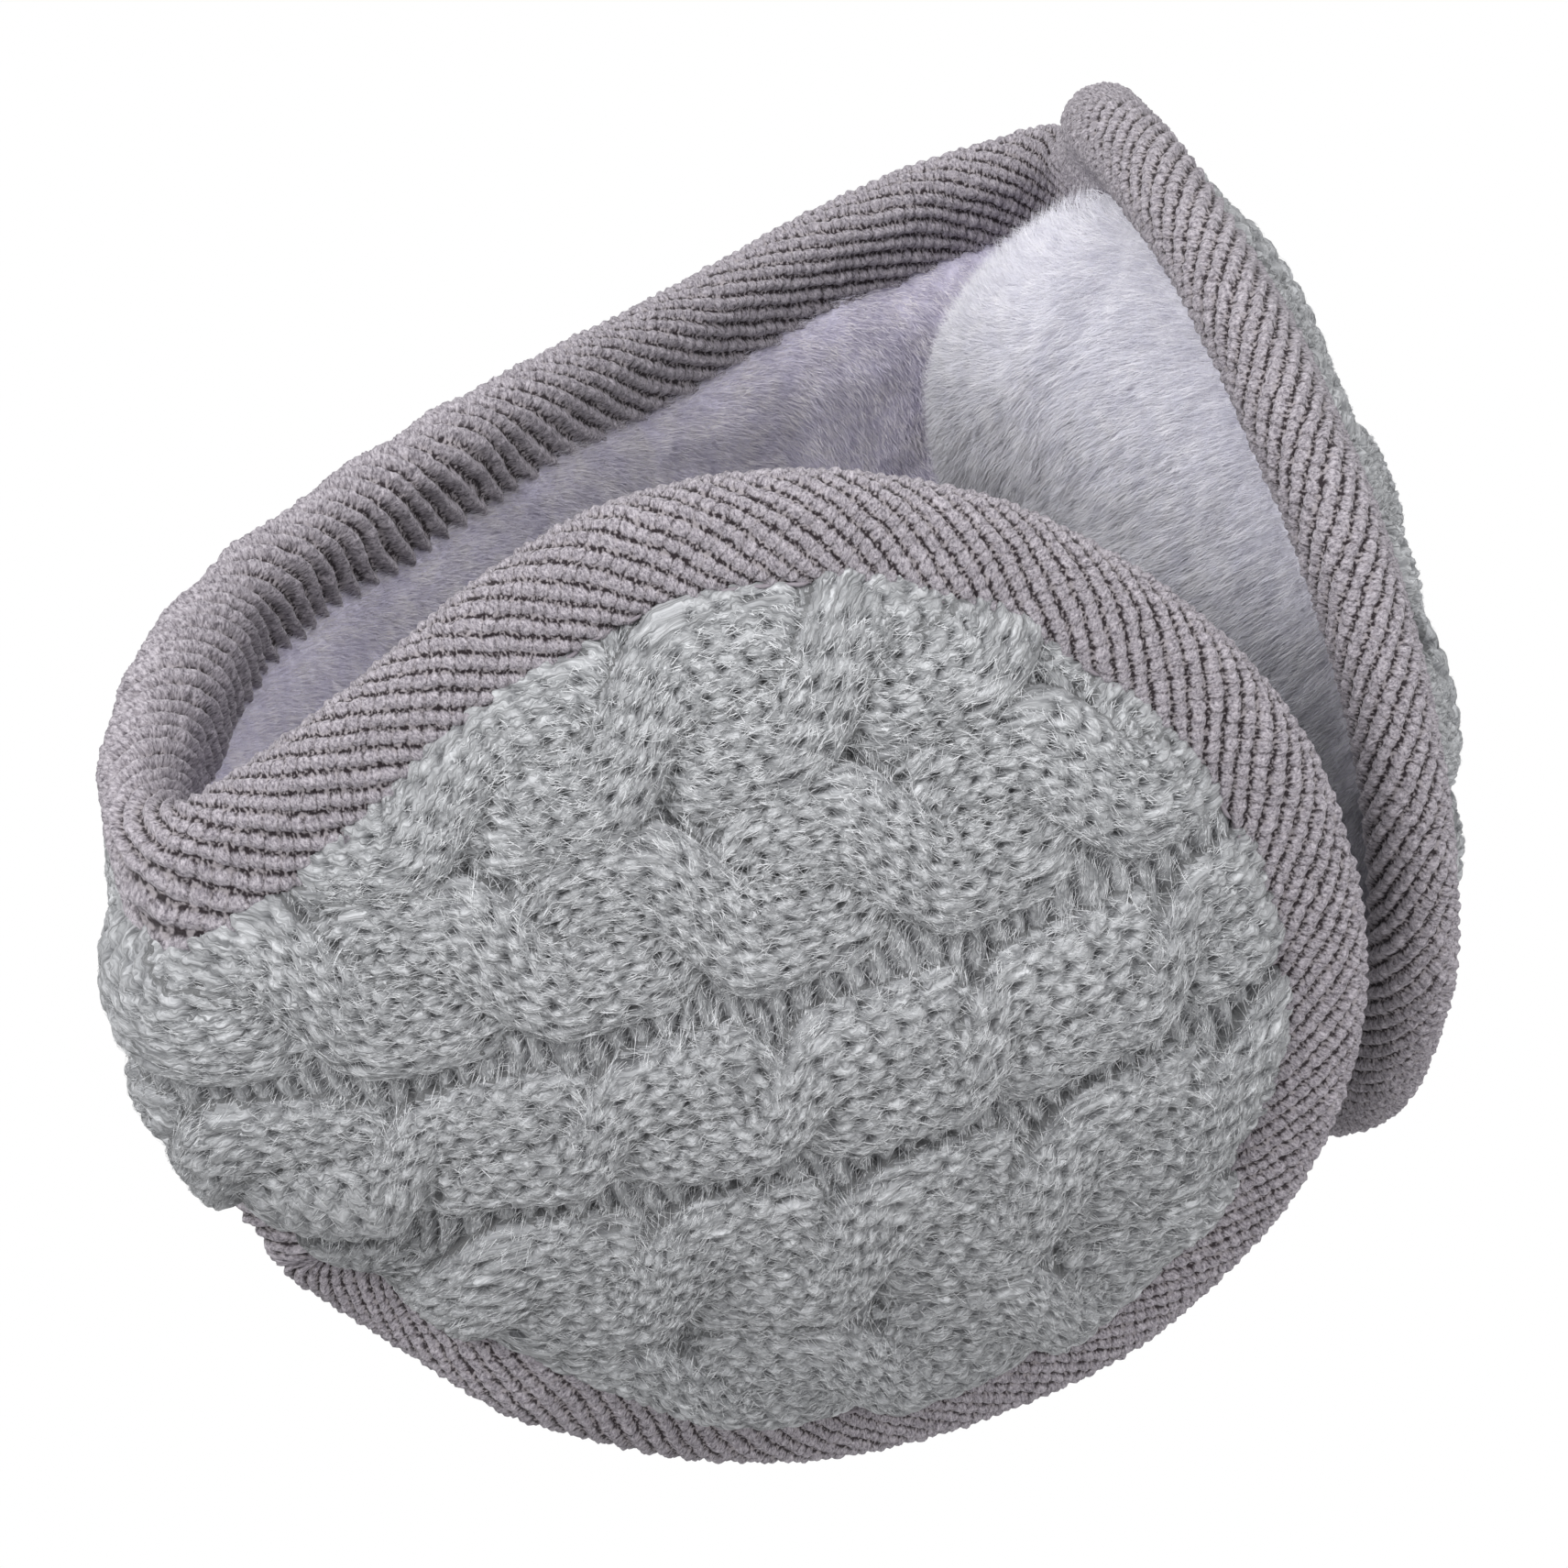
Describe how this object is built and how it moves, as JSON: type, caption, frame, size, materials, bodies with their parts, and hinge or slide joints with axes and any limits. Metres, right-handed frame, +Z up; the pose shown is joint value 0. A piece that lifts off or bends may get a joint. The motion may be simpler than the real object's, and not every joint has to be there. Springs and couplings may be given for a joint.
{
  "type": "folding ear warmer",
  "caption": "Behind-the-head ear warmer with cable-knit cover, plush lining and ribbed edge tape; cups fold on pin hinges and the rear band telescopes.",
  "frame": {"origin": "midway between the two hinge pins, at the middle of the hinges' height, which is about where the middle of the head is when worn", "axes": "+X across the head towards the right cup, +Y to the back of the head, +Z up"},
  "size_m": [0.1708, 0.1199, 0.1111],
  "materials": {
    "knit": "chunky cable knit",
    "tape": "ribbed knit tape",
    "thread": "matte",
    "plush_pad": "long soft pile",
    "plush_band": "short soft pile",
    "wadding": "matte",
    "foam": "matte",
    "frame_plastic": "satin",
    "steel": "satin"
  },
  "bodies": {
    "band_left": {"band_strip_left": "frame_plastic", "guide_clip_left": "frame_plastic", "band_knit_left": "knit", "band_wadding_left": "wadding", "band_plush_left": "plush_band", "band_binding_left": "tape", "band_thread_left": "thread", "hinge_pin_left": "steel"},
    "band_right": {"band_strip_right": "frame_plastic", "guide_clip_right": "frame_plastic", "stop_rivet": "steel", "band_knit_right": "knit", "band_wadding_right": "wadding", "band_plush_right": "plush_band", "band_binding_right": "tape", "band_thread_right": "thread", "hinge_pin_right": "steel"},
    "cup_left": {"cup_frame_left": "frame_plastic", "cup_knit_left": "knit", "cup_wadding_left": "wadding", "cup_foam_left": "foam", "cup_plush_left": "plush_pad", "cup_binding_left": "tape", "cup_thread_left": "thread"},
    "cup_right": {"cup_frame_right": "frame_plastic", "cup_knit_right": "knit", "cup_wadding_right": "wadding", "cup_foam_right": "foam", "cup_plush_right": "plush_pad", "cup_binding_right": "tape", "cup_thread_right": "thread"}
  },
  "joints": [
    {"name": "band_length", "type": "slide", "parent": "band_left", "child": "band_right", "axis": [1, 0, 0], "range_m": [0, 0.025]},
    {"name": "fold_left", "type": "hinge", "parent": "band_left", "child": "cup_left", "pos_m": [-0.082, 0, 0], "axis": [0, 0, -1], "range_deg": [0, 48]},
    {"name": "fold_right", "type": "hinge", "parent": "band_right", "child": "cup_right", "pos_m": [0.082, 0, 0], "axis": [0, 0, 1], "range_deg": [0, 48]}
  ]
}
